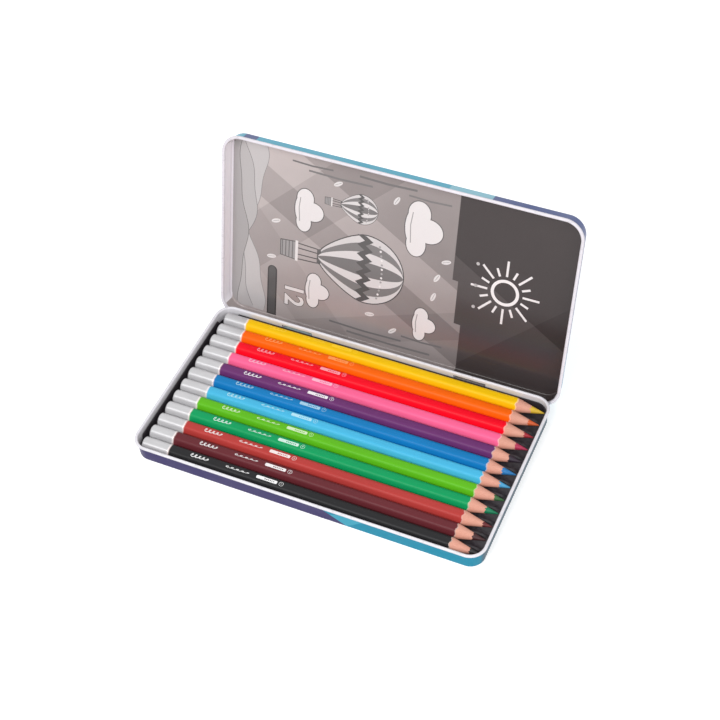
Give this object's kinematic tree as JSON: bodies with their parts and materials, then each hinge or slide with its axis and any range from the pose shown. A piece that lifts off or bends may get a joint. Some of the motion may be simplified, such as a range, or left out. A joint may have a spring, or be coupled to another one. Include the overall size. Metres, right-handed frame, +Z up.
{
  "type": "coloured pencil tin",
  "caption": "Flat hinged tin with a black grooved tray of sharpened coloured pencils; the lid stands open.",
  "frame": {"origin": "middle of the lower tin's underside, on the table", "axes": "+X along the pencils towards their points, +Y from the front edge to the hinge, +Z up"},
  "size_m": [0.1862, 0.1367, 0.1019],
  "materials": {
    "tin_base_print": "satin white tinplate, printed purple and teal on the outside",
    "tin_lid_print": "gloss, printed in greys inside and teal and navy outside",
    "hinge_wire": "plain wire",
    "tray_plastic": "satin black formed sheet",
    "pencil_wood": "bare cut wood",
    "silver_paint": "satin silver paint",
    "black_lacquer": "gloss lacquer",
    "black_core": "waxy coloured core",
    "maroon_lacquer": "gloss lacquer",
    "maroon_core": "waxy coloured core",
    "brick_red_lacquer": "gloss lacquer",
    "brick_red_core": "waxy coloured core",
    "green_lacquer": "gloss lacquer",
    "green_core": "waxy coloured core",
    "lime_lacquer": "gloss lacquer",
    "lime_core": "waxy coloured core",
    "light_blue_lacquer": "gloss lacquer",
    "light_blue_core": "waxy coloured core",
    "blue_lacquer": "gloss lacquer",
    "blue_core": "waxy coloured core",
    "purple_lacquer": "gloss lacquer",
    "purple_core": "waxy coloured core",
    "pink_lacquer": "gloss lacquer",
    "pink_core": "waxy coloured core",
    "red_lacquer": "gloss lacquer",
    "red_core": "waxy coloured core",
    "orange_lacquer": "gloss lacquer",
    "orange_core": "waxy coloured core",
    "yellow_lacquer": "gloss lacquer",
    "yellow_core": "waxy coloured core"
  },
  "bodies": {
    "tin": {"tin_base": "tin_base_print", "hinge_pins": "hinge_wire"},
    "lid": {"tin_lid": "tin_lid_print"},
    "tray": {"insert_tray": "tray_plastic"},
    "black_pencil": {"black_casing": "pencil_wood", "black_core": "black_core", "black_lacquer": "black_lacquer", "black_dip": "silver_paint"},
    "maroon_pencil": {"maroon_casing": "pencil_wood", "maroon_core": "maroon_core", "maroon_lacquer": "maroon_lacquer", "maroon_dip": "silver_paint"},
    "brick_red_pencil": {"brick_red_casing": "pencil_wood", "brick_red_core": "brick_red_core", "brick_red_lacquer": "brick_red_lacquer", "brick_red_dip": "silver_paint"},
    "green_pencil": {"green_casing": "pencil_wood", "green_core": "green_core", "green_lacquer": "green_lacquer", "green_dip": "silver_paint"},
    "lime_pencil": {"lime_casing": "pencil_wood", "lime_core": "lime_core", "lime_lacquer": "lime_lacquer", "lime_dip": "silver_paint"},
    "light_blue_pencil": {"light_blue_casing": "pencil_wood", "light_blue_core": "light_blue_core", "light_blue_lacquer": "light_blue_lacquer", "light_blue_dip": "silver_paint"},
    "blue_pencil": {"blue_casing": "pencil_wood", "blue_core": "blue_core", "blue_lacquer": "blue_lacquer", "blue_dip": "silver_paint"},
    "purple_pencil": {"purple_casing": "pencil_wood", "purple_core": "purple_core", "purple_lacquer": "purple_lacquer", "purple_dip": "silver_paint"},
    "pink_pencil": {"pink_casing": "pencil_wood", "pink_core": "pink_core", "pink_lacquer": "pink_lacquer", "pink_dip": "silver_paint"},
    "red_pencil": {"red_casing": "pencil_wood", "red_core": "red_core", "red_lacquer": "red_lacquer", "red_dip": "silver_paint"},
    "orange_pencil": {"orange_casing": "pencil_wood", "orange_core": "orange_core", "orange_lacquer": "orange_lacquer", "orange_dip": "silver_paint"},
    "yellow_pencil": {"yellow_casing": "pencil_wood", "yellow_core": "yellow_core", "yellow_lacquer": "yellow_lacquer", "yellow_dip": "silver_paint"}
  },
  "joints": [
    {"name": "lid_hinge", "type": "hinge", "parent": "tin", "child": "lid", "pos_m": [0, 0.04993, 0.0051], "axis": [-1, 0, 0], "range_deg": [-107.4, 0]},
    {"name": "tray_lift", "type": "slide", "parent": "tin", "child": "tray", "axis": [0, 0, 1], "range_m": [0, 0.015]},
    {"name": "black_pencil_lift", "type": "slide", "parent": "tray", "child": "black_pencil", "axis": [0, 0, 1], "range_m": [0, 0.03]},
    {"name": "maroon_pencil_lift", "type": "slide", "parent": "tray", "child": "maroon_pencil", "axis": [0, 0, 1], "range_m": [0, 0.03]},
    {"name": "brick_red_pencil_lift", "type": "slide", "parent": "tray", "child": "brick_red_pencil", "axis": [0, 0, 1], "range_m": [0, 0.03]},
    {"name": "green_pencil_lift", "type": "slide", "parent": "tray", "child": "green_pencil", "axis": [0, 0, 1], "range_m": [0, 0.03]},
    {"name": "lime_pencil_lift", "type": "slide", "parent": "tray", "child": "lime_pencil", "axis": [0, 0, 1], "range_m": [0, 0.03]},
    {"name": "light_blue_pencil_lift", "type": "slide", "parent": "tray", "child": "light_blue_pencil", "axis": [0, 0, 1], "range_m": [0, 0.03]},
    {"name": "blue_pencil_lift", "type": "slide", "parent": "tray", "child": "blue_pencil", "axis": [0, 0, 1], "range_m": [0, 0.03]},
    {"name": "purple_pencil_lift", "type": "slide", "parent": "tray", "child": "purple_pencil", "axis": [0, 0, 1], "range_m": [0, 0.03]},
    {"name": "pink_pencil_lift", "type": "slide", "parent": "tray", "child": "pink_pencil", "axis": [0, 0, 1], "range_m": [0, 0.03]},
    {"name": "red_pencil_lift", "type": "slide", "parent": "tray", "child": "red_pencil", "axis": [0, 0, 1], "range_m": [0, 0.03]},
    {"name": "orange_pencil_lift", "type": "slide", "parent": "tray", "child": "orange_pencil", "axis": [0, 0, 1], "range_m": [0, 0.03]},
    {"name": "yellow_pencil_lift", "type": "slide", "parent": "tray", "child": "yellow_pencil", "axis": [0, 0, 1], "range_m": [0, 0.03]}
  ]
}
